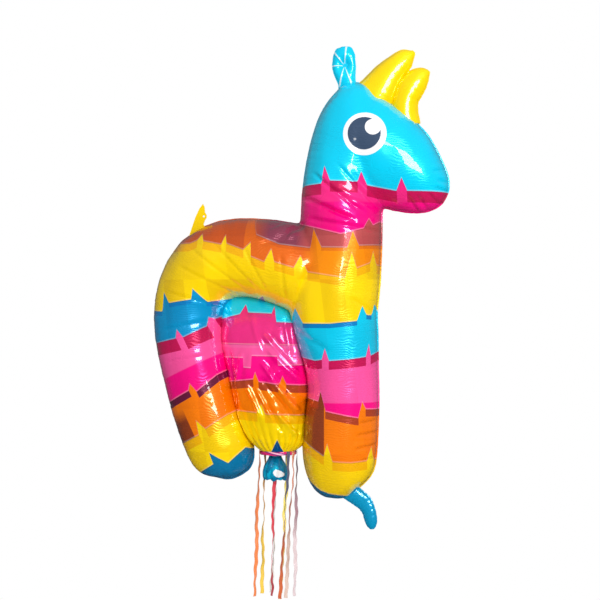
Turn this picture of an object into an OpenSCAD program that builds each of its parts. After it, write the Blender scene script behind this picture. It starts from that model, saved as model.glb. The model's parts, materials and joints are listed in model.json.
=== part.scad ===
// Pull-ribbon pinata: an air-filled foil balloon in the shape of a donkey, with a treat pouch between its legs.
// +X is forward (towards the snout), +Z is up, and the balloon's two skins meet in the plane Y = 0.
// The origin is the centre of the hang hole in the ear. Lengths are millimetres.

/* [Balloon] */
// Height from the lower foot to the tip of the ear
balloon_h = 857; // [800:1:900]
// Thickness that the foil is drawn with
foil_t = 1; // [0.8:0.1:2]
// Width of the heat-sealed seam outside the air chamber
seam_w = 5; // [3:0.5:8]
// Thickness of the seam, the tail tab and the other flat foil
seam_t = 1.2; // [0.8:0.1:2]

/* [Hang points] */
// Radius of the two hang holes
hang_hole_r = 2; // [1.5:0.1:3]
// Radius of the welded disc around the ear's hang hole
hang_disc_r = 7; // [5:0.5:9]
// Thickness of that disc
hang_disc_t = 2; // [1.5:0.1:3]

/* [Pouch mouth] */
// Inside radius of the ribbon ring
ring_in_r = 28; // [24:0.5:30]
// Outside radius of the ribbon ring
ring_out_r = 35; // [34.5:0.1:36]
// Height of the ribbon ring
ring_h = 8; // [5:0.5:12]
// Radius of the tear-off neck where it flares
neck_flare_r = 22; // [18:0.5:24]
// Length of the tear-off neck below the ring
neck_drop = 49; // [35:1:60]

/* [Ribbons] */
// Width of a ribbon
ribbon_w = 7; // [5:0.5:9]
// Thickness that a ribbon is drawn with
ribbon_t = 1; // [0.8:0.1:1.5]
// Height of the glue tab that holds a ribbon to the ring
tab_h = 10; // [8:1:14]
// Gap between the ring and a glue tab
tab_gap = 0.2; // [0.1:0.1:0.5]

/* [Hidden] */
$fn = 48;

// Every table of sections below is drawn for a balloon of this height.
drawn_h = 857;
k = balloon_h / drawn_h;
tube_sides = 24;
strip_sides = 8;
// An eight-sided section reaches this share of its circle's radius.
strip_fit = cos(180 / strip_sides);
big = 3000;

// Colours of the printed foil and the ribbons.
sky = [0, 0.68, 0.85];
sun = [1, 0.85, 0];
rose = [0.93, 0.05, 0.5];
amber = [0.95, 0.45, 0.05];
silver = [0.85, 0.85, 0.88];
red = [0.8, 0.15, 0.2];
navy = [0.15, 0.25, 0.4];
tints = [amber, sun, silver, sun, navy, silver, rose];

// A tube is a list of sections [x, z, half width in the XZ plane, half thickness along Y].
// Hind foot, hind leg, rump and back, ending inside the chest.
hind_tube = [
    [-223, -784, 6, 6], [-224, -771, 42, 37], [-229, -750, 57, 53], [-239, -724, 63, 62],
    [-254, -686, 64, 66], [-270, -637, 64, 68], [-285, -580, 64, 69], [-296, -528, 65, 71],
    [-300, -477, 67, 73], [-291, -428, 69, 75], [-265, -386, 73, 78], [-225, -366, 74, 79],
    [-175, -364, 74, 80], [-118, -374, 78, 80], [-68, -394, 78, 76]
];
// Fore foot, fore leg, chest, neck and the back of the head.
fore_tube = [
    [6, -813, 8, 8], [0, -799, 43, 39], [-6, -777, 60, 56], [-9, -743, 68, 67],
    [-8, -694, 70, 70], [-3, -633, 67, 70], [-5, -576, 68, 71], [-13, -519, 76, 76],
    [-21, -466, 82, 79], [-18, -414, 84, 80], [-10, -357, 79, 78], [-6, -300, 76, 76],
    [-5, -253, 75, 75], [-1, -205, 73, 75], [8, -158, 72, 73], [14, -116, 66, 69],
    [17, -80, 54, 59], [16, -54, 38, 43], [13, -38, 19, 20], [13, -33, 6, 6]
];
// Cheek and snout.
head_tube = [
    [20, -132, 86, 68], [66, -165, 86, 72], [107, -197, 81, 66], [143, -219, 65, 57],
    [170, -229, 49, 43], [188, -232, 29, 25], [196, -233, 5, 5]
];
ear_tube = [
    [6, -44, 16, 7], [4, -30, 16, 9], [1, -16, 19, 11], [-1, -2, 21, 12],
    [-1, 12, 20, 11], [0, 24, 18, 9], [1, 32, 13, 6], [1, 36, 6, 3]
];
mane_rear_tube = [
    [48, -70, 38, 24], [61, -54, 37, 24], [82, -23, 29, 21], [102, -1, 22, 17],
    [116, 12, 17, 12], [127, 20, 7, 6], [131, 24, 1.5, 1.5]
];
mane_front_tube = [
    [106, -116, 30, 20], [116, -87, 30, 20], [122, -57, 26, 19], [130, -38, 26, 17],
    [144, -26, 18, 13], [156, -19, 9, 7], [161, -17, 1.5, 1.5]
];
fill_tube = [
    [4, -800, 17, 9], [14, -808, 16, 8], [25, -816, 15, 7], [38, -827, 14, 6],
    [46, -842, 11.5, 6], [50, -859, 10.5, 6], [51.5, -870, 7, 4.5], [52, -876, 1.5, 1.5]
];
// The pouch is wider than the gap between the legs, which trim it. It ends as a circle on the ring.
ring_x = -127;
ring_z = -733;
pouch_foot_z = ring_z + 4;
// Height of a glue tab's lower edge from the ring's middle.
tab_low = -tab_h / 2 - 1;
pouch_tube = [
    [-172, -436, 46, 6], [-170, -448, 66, 14], [-164, -471, 76, 28], [-160, -500, 80, 42],
    [-156, -537, 78, 52], [-148, -575, 79, 57], [-143, -614, 76, 58], [-139, -652, 70, 56],
    [-134, -680, 65, 51], [-129, -705, 55, 45], [ring_x, -719, 44, 39], [ring_x, pouch_foot_z, 34, 34]
];
tail_outline = [
    [-300, -320], [-288, -285], [-280, -268], [-273, -259], [-270, -265], [-269, -276],
    [-266, -280], [-266, -286], [-269, -290], [-272, -298], [-262, -322], [-285, -332]
];
tail_hole_at = [-271.5, -283];
tail_hole_z = tail_hole_at[1] * k;

// Where each decoy ribbon hangs on the ring, in degrees round +Z from +X.
ribbon_at = [195, 144, 114, 70, 311, 331, 8];
ribbon_foot_z = -1007;
// Sideways sway of each ribbon from its top, [x, y], at even steps down its length.
ribbon_sway = [
    [[0, 0], [0, 0], [-1, 0], [-2, 1], [-3, 1], [-4, 2], [-5, 2], [-6, 1], [-6, 0], [-5, -1], [-5, -1],
     [-6, 0], [-7, 1], [-8, 2], [-9, 2], [-9, 1], [-9, 0]],
    [[0, 0], [0, 0], [-1, 1], [-2, 2], [-3, 2], [-3, 1], [-2, 0], [-2, -1], [-3, -2], [-5, -2], [-5, -1],
     [-4, 0], [-4, 1], [-5, 2], [-6, 2], [-6, 1], [-6, 0]],
    [[0, 0], [0, 0], [1, 0], [2, -1], [3, -2], [4, -2], [3, -1], [1, 0], [0, 1], [0, 2], [1, 2],
     [1, 1], [0, 0], [-1, -1], [-2, -1], [-4, 0], [-5, 1]],
    [[0, 0], [0, 0], [-1, 1], [-1, 2], [-2, 2], [-3, 1], [-5, 0], [-6, -1], [-5, -2], [-5, -2], [-6, -1],
     [-7, 0], [-8, 1], [-9, 2], [-10, 2], [-11, 1], [-11, 0]],
    [[0, 0], [0, 0], [0, -1], [-1, -2], [-3, -3], [-5, -3], [-6, -2], [-6, -1], [-7, 0], [-8, 1], [-10, 1],
     [-11, 0], [-12, -1], [-13, -1], [-14, 0], [-15, 1], [-16, 1]],
    [[0, 0], [0, 0], [1, -1], [0, -2], [-2, -2], [-4, -1], [-6, 0], [-7, 1], [-7, 1], [-8, 0], [-9, -1],
     [-9, -2], [-10, -2], [-11, -1], [-12, 0], [-13, 1], [-14, 1]],
    [[0, 0], [0, 0], [0, 1], [-1, 2], [-2, 2], [-2, 1], [-1, 0], [-1, -1], [-3, -2], [-4, -1], [-4, 0],
     [-4, 1], [-3, 2], [-3, 1], [-4, 0], [-5, -1], [-5, -1]]
];
pull_sway = [
    [0, 0], [0, 0], [-1, -1], [-2, -1], [-3, 0], [-4, 1], [-5, 1], [-4, 0], [-3, -1], [-4, -2],
    [-5, -2], [-6, -1], [-6, 0], [-6, 1], [-5, 1], [-6, 0]
];
// How far a ribbon has turned about its own length at its foot.
ribbon_turn = 140;

// The neck sits a little off the ring's centre. Its heights are counted from the ring's middle.
neck_off_x = -6;
neck_foot = -ring_h / 2 - neck_drop;
neck_ceiling = neck_foot + 28;
ring_mid_z = k * pouch_foot_z - ring_h / 2;

// Catmull-Rom point between b and c at t from 0 to 1.
function between(a, b, c, d, t) =
    0.5 * (2 * b + (c - a) * t + (2 * a - 5 * b + 4 * c - d) * t * t + (3 * b - a - 3 * c + d) * t * t * t);

// The list with steps - 1 smooth sections added between each two, all scaled to the balloon's height.
function smooth(list, steps = 2) = let (n = len(list)) [
    for (i = [0 : n - 2], s = [0 : steps - 1])
        k * between(list[max(i - 1, 0)], list[i], list[i + 1], list[min(i + 2, n - 1)], s / steps),
    k * list[n - 1]
];

// Unit vector across the tube at section i, in the XZ plane.
function across(list, i) =
    let (t = list[min(i + 1, len(list) - 1)] - list[max(i - 1, 0)], d = norm([t[0], t[1]]))
    [-t[1] / d, t[0] / d];

function tube_points(list, sides) = [
    for (i = [0 : len(list) - 1], j = [0 : sides - 1])
        let (s = list[i], n = across(list, i), c = cos(360 * j / sides), y = sin(360 * j / sides))
        [s[0] + s[2] * c * n[0], s[3] * y, s[1] + s[2] * c * n[1]]
];

function tube_faces(rings, sides) = concat(
    [[for (j = [sides - 1 : -1 : 0]) j]],
    [for (i = [0 : rings - 2], j = [0 : sides - 1])
        let (a = i * sides + j, b = i * sides + (j + 1) % sides)
        each [[a, b, a + sides], [b, b + sides, a + sides]]],
    [[for (j = [0 : sides - 1]) (rings - 1) * sides + j]]
);

// A closed tube through the sections of an already smoothed list.
module tube(list, sides = tube_sides) {
    polyhedron(points = tube_points(list, sides), faces = tube_faces(len(list), sides), convexity = 6);
}

// The same sections made smaller all round, for the inside of a foil wall.
function shrunk(list, by) = [for (s = list) [s[0], s[1], max(s[2] - by, 0.3), max(s[3] - by, 0.3)]];

// Outline of a tube in the plane Y = 0.
function tube_outline(list) = concat(
    [for (i = [0 : len(list) - 1]) [list[i][0], list[i][1]] + list[i][2] * across(list, i)],
    [for (i = [len(list) - 1 : -1 : 0]) [list[i][0], list[i][1]] - list[i][2] * across(list, i)]
);

hind = smooth(hind_tube);
fore = smooth(fore_tube);
head = smooth(head_tube);
ear_list = smooth(ear_tube);
mane_rear = smooth(mane_rear_tube);
mane_front = smooth(mane_front_tube);
fill = smooth(fill_tube);
pouch = smooth(pouch_tube);

// Everything inside the printed foil of the air chamber.
module chamber() {
    tube(hind);
    tube(fore);
    tube(head);
}

// The air itself: the same tubes inside the foil.
module air() {
    for (list = [hind, fore, head])
        tube([for (i = [1 : len(list) - 2]) shrunk(list, foil_t)[i]]);
}

// The half space on one side of the seam: side is -1 for the near half and 1 for the far half.
module half_space(side) {
    translate([-big / 2, side > 0 ? 0 : -big, -big / 2]) cube(big);
}

module balloon_skin(side) {
    resize([0, 0, 0]) intersection() {
        difference() {
            union() chamber();
            union() air();
        }
        half_space(side);
    }
}

module near_skin() {
    color(sun) balloon_skin(-1);
}

module far_skin() {
    color(sun) balloon_skin(1);
}

// Flat foil in the plane Y = 0 from a 2D shape drawn in X and Z.
module flat_foil(t = seam_t) {
    rotate([90, 0, 0]) linear_extrude(height = t, center = true) children();
}

module chamber_outline() {
    for (list = [hind, fore, head])
        polygon(tube_outline(list));
}

// Heat-sealed edge round the air chamber, left out where a lobe, a tab or the pouch takes its place.
module weld_seam() {
    color(sun) flat_foil() difference() {
        offset(delta = seam_w) chamber_outline();
        chamber_outline();
        for (list = [ear_list, mane_rear, mane_front, fill, pouch])
            offset(delta = 0.5) polygon(tube_outline(list));
        offset(delta = 0.5) polygon(k * tail_outline);
    }
}

// A small inflated lobe, trimmed by the air chamber's own foil.
module lobe(list) {
    resize([0, 0, 0]) difference() {
        tube(list);
        tube([for (i = [1 : len(list) - 2]) shrunk(list, foil_t)[i]]);
        chamber();
    }
}

// Ear, pinched flat round its hang hole.
module ear() {
    color(sky) difference() {
        lobe(ear_list);
        rotate([90, 0, 0]) cylinder(r = hang_disc_r, h = 60, center = true);
    }
}

// Disc where the ear's two skins are welded together, with the hang hole through it.
module ear_hang_disc() {
    color(silver) rotate([90, 0, 0]) difference() {
        cylinder(r = hang_disc_r, h = hang_disc_t, center = true);
        cylinder(r = hang_hole_r, h = 3 * hang_disc_t, center = true);
    }
}

module mane_rear_lobe() {
    color(sun) lobe(mane_rear);
}

// The front lobe stops where the rear lobe begins.
module mane_front_lobe() {
    color(sun) resize([0, 0, 0]) difference() {
        lobe(mane_front);
        tube(mane_rear);
    }
}

module tail_tab() {
    color(sun) difference() {
        flat_foil() difference() {
            polygon(k * tail_outline);
            chamber_outline();
        }
        translate([k * tail_hole_at[0], 0, tail_hole_z]) rotate([90, 0, 0])
            cylinder(r = hang_hole_r, h = 10, center = true);
    }
}

// Neck that the balloon is filled through, below the fore foot.
module fill_neck() {
    color(sky) lobe(fill);
}

// Flat clear film inside the fill neck, which air pressure presses shut.
valve_film_tube = [[26, -817, 9, 1], [37, -827, 9, 1], [44, -840, 7, 1], [47, -852, 6.5, 1]];
module valve_film() {
    color(silver) resize([0, 0, 0]) difference() {
        tube(smooth(valve_film_tube), 16);
        chamber();
    }
}

// The tube goes on below the ring's top, where a level cut ends the wall.
module pouch_wall(side) {
    n = len(pouch) - 1;
    foot = pouch[n];
    past = [foot[0], foot[1] - ring_h, foot[2], foot[3]];
    further = [foot[0], foot[1] - 2 * ring_h, foot[2], foot[3]];
    resize([0, 0, 0]) intersection() {
        difference() {
            tube(concat(pouch, [past]));
            tube(shrunk(concat([for (i = [1 : n]) pouch[i]], [past, further]), foil_t));
            chamber();
        }
        half_space(side);
        translate([-big / 2, -big / 2, foot[1]]) cube(big);
    }
}

module near_pouch_wall() {
    color(rose) pouch_wall(-1);
}

module far_pouch_wall() {
    color(rose) pouch_wall(1);
}

module at_ring() {
    translate([k * ring_x, 0, ring_mid_z]) children();
}

// Stiff ring in the mouth of the pouch, which the ribbons hang from.
module ribbon_ring() {
    edge = 1;
    color(rose) at_ring() rotate_extrude() polygon([
        [ring_in_r + edge, -ring_h / 2], [ring_out_r - edge, -ring_h / 2], [ring_out_r, -ring_h / 2 + edge],
        [ring_out_r, ring_h / 2 - edge], [ring_out_r - edge, ring_h / 2], [ring_in_r + edge, ring_h / 2],
        [ring_in_r, ring_h / 2 - edge], [ring_in_r, -ring_h / 2 + edge]
    ]);
}

// Gathered foil neck that closes the mouth and tears off: a disc in the ring, a waist, and a flared open end.
module tear_off_neck() {
    disc_r = ring_in_r - 0.3;
    waist_r = 10;
    lip = neck_flare_r - 1;
    color(sky) at_ring() {
        translate([0, 0, -1]) cylinder(r = disc_r, h = 2);
        translate([neck_off_x, 0, 0]) rotate_extrude() polygon([
            [0, -1], [waist_r, -1], [waist_r + 1, -ring_h / 2 - 2], [neck_flare_r - 4, neck_foot + 30],
            [neck_flare_r, neck_foot + 16], [neck_flare_r, neck_foot + 6], [lip, neck_foot],
            [lip - 1, neck_foot], [lip - 1, neck_foot + 14], [lip - 5, neck_foot + 26],
            [lip - 9, neck_ceiling], [0, neck_ceiling]
        ]);
    }
}

// Ribbon: a flat strip that follows points. It starts across the given angle and turns as it goes down.
function strip_points(path, across_at) = [
    for (i = [0 : len(path) - 1], j = [0 : strip_sides - 1])
        let (a = across_at + ribbon_turn * i / (len(path) - 1), b = 360 * (j + 0.5) / strip_sides,
            c = cos(b) / strip_fit * ribbon_w / 2, d = sin(b) / strip_fit * ribbon_t / 2)
        path[i] + [c * cos(a) - d * sin(a), c * sin(a) + d * cos(a), 0]
];

module strip(path, across_at) {
    polyhedron(points = strip_points(path, across_at), faces = tube_faces(len(path), strip_sides),
        convexity = 4);
}

// Points of a ribbon that starts at [x, y, z] and sways down to the ribbons' common foot.
function ribbon_path(top, sway) = let (n = len(sway) - 1) [
    for (i = [0 : n]) [top[0] + sway[i][0], top[1] + sway[i][1], top[2] + (k * ribbon_foot_z - top[2]) * i / n]
];

// Decoy ribbon: it comes away with its tab when it is pulled.
module decoy_ribbon(i) {
    r = ring_out_r + tab_gap + ribbon_t / 2;
    top = [k * ring_x + r * cos(ribbon_at[i]), r * sin(ribbon_at[i]), ring_mid_z + tab_low];
    color(tints[i]) strip(ribbon_path(top, ribbon_sway[i]), ribbon_at[i] + 90);
}

// Glue tab that holds a decoy ribbon against the outside of the ring.
module decoy_tab(i) {
    color(tints[i]) at_ring() rotate([0, 0, ribbon_at[i]])
        translate([ring_out_r + tab_gap, -ribbon_w / 2, tab_low]) cube([ribbon_t, ribbon_w, tab_h]);
}

// Ribbon that tears the neck off. It starts at the neck's ceiling.
module pull_ribbon() {
    color(red) strip(ribbon_path([k * ring_x + neck_off_x, 0, ring_mid_z + neck_ceiling], pull_sway), 0);
}

near_skin();
far_skin();
weld_seam();
ear();
ear_hang_disc();
mane_rear_lobe();
mane_front_lobe();
tail_tab();
fill_neck();
valve_film();
near_pouch_wall();
far_pouch_wall();
ribbon_ring();
tear_off_neck();
pull_ribbon();
for (i = [0 : len(ribbon_at) - 1]) {
    decoy_ribbon(i);
    decoy_tab(i);
}
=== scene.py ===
# %% [markdown]
# # A pull-ribbon pinata made of balloon foil
# The real thing is two sheets of printed, metallised film, welded round their edge and filled with air. A
# loose pouch for treats hangs between the legs, and ribbons hang from a ring in the pouch's mouth. Sizes and
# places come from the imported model, which is loaded first and never moved. Lengths here are metres.

# %% The frame
import json
import math
import bmesh
import bpy
import numpy as np
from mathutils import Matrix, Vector


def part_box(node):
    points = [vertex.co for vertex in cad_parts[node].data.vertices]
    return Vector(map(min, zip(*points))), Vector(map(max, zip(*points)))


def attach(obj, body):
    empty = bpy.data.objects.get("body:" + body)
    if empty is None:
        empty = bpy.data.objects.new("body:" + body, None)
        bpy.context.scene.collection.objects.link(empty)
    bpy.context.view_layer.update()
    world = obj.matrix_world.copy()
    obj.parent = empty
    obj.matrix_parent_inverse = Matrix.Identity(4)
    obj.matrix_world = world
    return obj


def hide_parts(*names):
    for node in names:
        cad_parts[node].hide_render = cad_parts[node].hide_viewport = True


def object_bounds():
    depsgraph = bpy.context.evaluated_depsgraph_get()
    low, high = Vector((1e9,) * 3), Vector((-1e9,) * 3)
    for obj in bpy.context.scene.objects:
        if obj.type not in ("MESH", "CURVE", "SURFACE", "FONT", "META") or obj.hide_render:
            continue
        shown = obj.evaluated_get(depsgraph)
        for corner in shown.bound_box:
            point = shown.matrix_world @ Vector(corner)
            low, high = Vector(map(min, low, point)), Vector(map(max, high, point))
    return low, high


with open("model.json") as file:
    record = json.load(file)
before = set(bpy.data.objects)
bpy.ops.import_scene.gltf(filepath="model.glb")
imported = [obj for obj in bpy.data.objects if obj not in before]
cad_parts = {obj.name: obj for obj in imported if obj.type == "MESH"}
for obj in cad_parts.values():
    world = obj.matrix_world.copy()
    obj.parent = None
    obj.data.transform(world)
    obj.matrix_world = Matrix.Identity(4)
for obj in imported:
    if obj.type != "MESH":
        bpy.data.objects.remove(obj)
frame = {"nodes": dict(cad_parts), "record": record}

MM = 0.001
cad_low, cad_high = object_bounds()


# %% [markdown]
# ## The camera
# The balloon hangs at eye level, so the camera is level with its middle and looks along +Y, turned a few
# degrees towards the animal's front. A long lens from a few metres away keeps the legs parallel. The lens
# follows from the width that the picture should cover at the balloon's distance.

# %% Camera
PICTURE_WIDTH = 1.14
CAMERA_DISTANCE = 2.8
CAMERA_AZIMUTH = math.radians(8)
SENSOR = 36.0
AIM_ABOVE_MIDDLE = 42 * MM
aim = (cad_low + cad_high) / 2 + Vector((0, 0, AIM_ABOVE_MIDDLE))
aim.y = 0
back = Vector((math.sin(CAMERA_AZIMUTH), -math.cos(CAMERA_AZIMUTH), 0))
camera_data = bpy.data.cameras.new("camera")
camera_data.sensor_width = SENSOR
camera_data.lens = SENSOR * CAMERA_DISTANCE / PICTURE_WIDTH
camera = bpy.data.objects.new("camera", camera_data)
camera.location = aim + back * CAMERA_DISTANCE
camera.rotation_euler = (-back).to_track_quat("-Z", "Y").to_euler()
bpy.context.scene.collection.objects.link(camera)
bpy.context.scene.camera = camera
print("camera aims at", [round(v, 3) for v in aim], "lens", round(camera_data.lens, 1))


# %% [markdown]
# ## Helpers for meshes
# Every new surface is a grid of points worked out with numpy. One helper puts a grid into a mesh and joins
# its edges where it closes on itself. Another gives the mesh its place in the scene.

# %% Mesh helpers
def grid_faces(rows, columns, wrap=False):
    """Quads between neighbouring points of a grid: point (i, j) is number i * columns + j, and wrap joins
    the last column to the first."""
    i = np.arange(rows - 1)[:, None]
    j = np.arange(columns if wrap else columns - 1)[None, :]
    after = (j + 1) % columns
    quads = [i * columns + j, i * columns + after, (i + 1) * columns + after, (i + 1) * columns + j]
    return np.stack([np.broadcast_to(q, (rows - 1, j.size)) for q in quads], axis=-1).reshape(-1, 4)


def end_caps(rows, columns):
    """The two faces that close a tube's grid at its first and its last row."""
    last = (rows - 1) * columns
    return [list(range(columns)), [last + k for k in reversed(range(columns))]]


def add_object(name, mesh):
    """Puts the mesh into the scene as an object at the origin."""
    obj = bpy.data.objects.new(name, mesh)
    bpy.context.scene.collection.objects.link(obj)
    return obj


def shade_smooth(mesh):
    """Smooth shading on all of the mesh's faces."""
    mesh.polygons.foreach_set("use_smooth", np.full(len(mesh.polygons), True))


def make_piece(name, points, faces):
    """A smooth object at the origin with these points and faces."""
    mesh = bpy.data.meshes.new(name)
    mesh.from_pydata(np.asarray(points).reshape(-1, 3).tolist(), [], [list(map(int, f)) for f in faces])
    mesh.validate()
    shade_smooth(mesh)
    return add_object(name, mesh)


def vectors(items, key):
    """One vector of each item, as an array with a row for each."""
    flat = np.empty(len(items) * 3)
    items.foreach_get(key, flat)
    return flat.reshape(-1, 3)


def set_points(obj, points):
    """Puts the array's rows back as the mesh's points."""
    obj.data.vertices.foreach_set("co", np.asarray(points).ravel())
    obj.data.update()


def tidy_mesh(obj, merge):
    """Merges points closer than merge and turns the faces outwards."""
    bm = bmesh.new()
    bm.from_mesh(obj.data)
    bmesh.ops.remove_doubles(bm, verts=bm.verts, dist=merge)
    bmesh.ops.recalc_face_normals(bm, faces=bm.faces)
    bm.to_mesh(obj.data)
    bm.free()
    obj.data.update()
    return obj


def ring_piece(name, sections):
    """A closed ring from the grid of its sections, which are joined last to first."""
    closed = np.concatenate([sections, sections[:1]], axis=0)
    return tidy_mesh(make_piece(name, closed, grid_faces(*closed.shape[:2], wrap=True)), merge=1e-6)


def apply_modifiers(obj):
    """Replaces the mesh by what its modifiers make of it, and removes them."""
    graph = bpy.context.evaluated_depsgraph_get()
    made = bpy.data.meshes.new_from_object(obj.evaluated_get(graph))
    obj.modifiers.clear()
    obj.data = made
    shade_smooth(made)
    return obj


def smooth_path(points, count):
    """Catmull-Rom curve through the points, as count points at even steps of the curve's own parameter."""
    points = np.asarray(points, float)
    t = np.linspace(0, len(points) - 1, count)
    i = np.minimum(t.astype(int), len(points) - 2)
    f = (t - i)[:, None]
    a, b = points[np.maximum(i - 1, 0)], points[i]
    c, d = points[i + 1], points[np.minimum(i + 2, len(points) - 1)]
    return 0.5 * (2 * b + (c - a) * f + (2 * a - 5 * b + 4 * c - d) * f**2 + (3 * b - a - 3 * c + d) * f**3)


def run_along(path):
    """How far each point lies along the path: the running sum of the distances between neighbours."""
    return np.concatenate([[0], np.cumsum(np.linalg.norm(np.diff(path, axis=0), axis=1))])


def full_turn(count):
    """Angles at even steps once round, without the last, which is the first again."""
    return np.linspace(0, 2 * np.pi, count, endpoint=False)


def signed_power(value, power):
    """The size of value to this power, with value's sign."""
    return np.sign(value) * np.abs(value) ** power


def rising(value, start, width):
    """0 up to start, 1 from start + width on, and a straight line between."""
    return np.clip((value - start) / width, 0, 1)


def dress(obj, material, body_name, slot, *nodes):
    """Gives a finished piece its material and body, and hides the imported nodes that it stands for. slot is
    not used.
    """
    obj.data.materials.clear()
    obj.data.materials.append(material)
    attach(obj, body_name)
    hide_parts(*nodes)


# %% [markdown]
# ## Helpers for materials
# A material is a tree of nodes. Writing one by hand takes many lines, so a small class makes a node, plugs
# its inputs and gives back its output. Effects that several materials share are node groups with named
# sockets.

# %% Node helpers
class Tree:
    """Short ways to add nodes to a material's or a group's tree. Every input is a number, a colour or a
    socket."""

    def __init__(self, tree):
        self.tree = tree

    def wire(self, node, inputs):
        """Links each of the node's inputs to a socket, or sets it to a number or a colour of three parts."""
        for key, value in inputs.items():
            socket = node.inputs[key]
            if isinstance(value, bpy.types.NodeSocket):
                self.tree.links.new(value, socket)
            else:
                socket.default_value = (*value, 1) if socket.type == "RGBA" else value
        return node

    def add(self, kind, inputs=None, **settings):
        node = self.tree.nodes.new(kind)
        for key, value in settings.items():
            setattr(node, key, value)
        return self.wire(node, inputs or {})

    def math(self, operation, *values, clamp=False):
        inputs = dict(enumerate(values))
        return self.add("ShaderNodeMath", inputs, operation=operation, use_clamp=clamp).outputs[0]

    def plus(self, a, b):
        return self.math("ADD", a, b)

    def minus(self, a, b):
        return self.math("SUBTRACT", a, b)

    def times(self, a, b):
        return self.math("MULTIPLY", a, b)

    def line(self, value, slope, start):
        """value * slope + start."""
        return self.math("MULTIPLY_ADD", value, slope, start)

    def above(self, value, floor, gain):
        """0 below floor, and above it the distance times gain, up to 1."""
        return self.math("MULTIPLY", self.minus(value, floor), gain, clamp=True)

    def step(self, value, edge, width):
        """0 below edge and 1 above it, with a soft change over width."""
        return self.math("DIVIDE", self.minus(value, edge - width / 2), width, clamp=True)

    def under(self, value, edge, width):
        """1 below edge and 0 above it."""
        return self.minus(1.0, self.step(value, edge, width))

    def mix(self, share, a, b, blend="MIX"):
        return self.add("ShaderNodeMix", {0: share, 6: a, 7: b}, data_type="RGBA", blend_type=blend,
                        clamp_factor=True).outputs[2]

    def split(self, vector):
        return self.add("ShaderNodeSeparateXYZ", {0: vector}).outputs

    def noise(self, place, scale, detail, **more):
        inputs = {"Vector": place, "Scale": scale, "Detail": detail, **more}
        return self.add("ShaderNodeTexNoise", inputs).outputs[0]

    def bump(self, height, strength, distance):
        inputs = {"Height": height, "Strength": strength, "Distance": distance}
        return self.add("ShaderNodeBump", inputs).outputs[0]

    def place(self):
        """The piece's own coordinates, whole and split into X, Y and Z."""
        coordinates = self.add("ShaderNodeTexCoord").outputs["Object"]
        return coordinates, *self.split(coordinates)


def new_material(name):
    """A material, with its tree and its Principled shader."""
    material = bpy.data.materials.new(name)
    material.use_nodes = True
    return material, Tree(material.node_tree), material.node_tree.nodes["Principled BSDF"]


def new_group(name, inputs, outputs):
    """An empty node group. inputs is a list of (name, kind, default) and outputs one of (name, kind)."""
    group = bpy.data.node_groups.new(name, "ShaderNodeTree")
    kinds = {"value": "NodeSocketFloat", "colour": "NodeSocketColor", "vector": "NodeSocketVector"}
    for socket, kind, default in inputs:
        made = group.interface.new_socket(socket, in_out="INPUT", socket_type=kinds[kind])
        if default is not None:
            made.default_value = default
    for socket, kind in outputs:
        group.interface.new_socket(socket, in_out="OUTPUT", socket_type=kinds[kind])
    tree = Tree(group)
    return group, tree, tree.add("NodeGroupInput").outputs, tree.add("NodeGroupOutput")


def linear(red, green, blue):
    """A colour given as 0 to 255, turned into the linear light that shaders use."""
    c = np.array([red, green, blue]) / 255
    return tuple(np.where(c <= 0.04045, c / 12.92, ((c + 0.055) / 1.055) ** 2.4).tolist())


SKY = linear(0, 208, 242)
# The feet's blue is darker than the other blues: painted shade, as the light falls from above.
SHADED_FOOT_BLUE = linear(0, 118, 166)
SUN = linear(255, 216, 0)
ROSE = linear(255, 84, 160)
NECK_ROSE = linear(248, 40, 132)
MAGENTA = linear(255, 0, 134)
CRIMSON = linear(200, 16, 84)
MAUVE = linear(190, 82, 82)
PLUM = linear(140, 62, 84)
AMBER = linear(255, 128, 0)
CHEST_ORANGE = linear(255, 146, 0)
DARK_RUST = linear(150, 64, 28)
FLAP_ORANGE = linear(230, 106, 18)
RUST = linear(206, 86, 26)
BROWN = linear(176, 66, 34)
STRAW = linear(250, 186, 0)
WHITE = (0.95, 0.95, 0.95)
SLATE = linear(58, 78, 104)


# %% [markdown]
# ## Curling ribbons
# Each ribbon is a flat strip of soft plastic, 7 mm wide, that hangs limp with a slow twist and a little
# sway. Its route repeats the one in the CAD source. A strip with a slightly cupped section carries fine ribs
# along its length, and its colour is mottled, because the film is thin and lets light through.

# %% Ribbon material
def ribbon_material(name, top, foot, mottle):
    """Colour runs from top to foot along the ribbon's own UV, is broken by mottle, and fine ribs follow
    it."""
    material, t, shader = new_material(name)
    uv = t.add("ShaderNodeUVMap", uv_map="along").outputs[0]
    across, along, _ = t.split(uv)
    patch = t.above(t.noise(uv, 9.0, 4.0, Roughness=0.6), 0.42, 4.0)
    colour = t.mix(t.step(along, 0.5, 0.2), top, foot)
    ribs = t.math("SINE", t.times(across, 60.0))
    t.wire(shader, {
        "Base Color": t.mix(t.times(patch, 0.3), colour, mottle),
        "Roughness": t.line(patch, 0.2, 0.3),
        "Normal": t.bump(ribs, 0.25, 0.4 * MM),
        "Coat Weight": 0.3,
        "Sheen Weight": 0.2,
    })
    return material


# %% Ribbon strips
RIBBON_WIDTH = 7 * MM
RIBBON_SKIN = 0.35 * MM
RIBBON_TURN = math.radians(140)
RIBBON_KINK = 0.7 * MM
RIBBON_CUP = 0.5 * MM
RIBBON_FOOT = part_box("ribbon_1")[0].z
ring_low, ring_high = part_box("ribbon_ring")
ring_middle = (ring_low + ring_high) / 2
ring_radius = (ring_high.x - ring_low.x) / 2
TAB_OUT = 0.7 * MM
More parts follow.
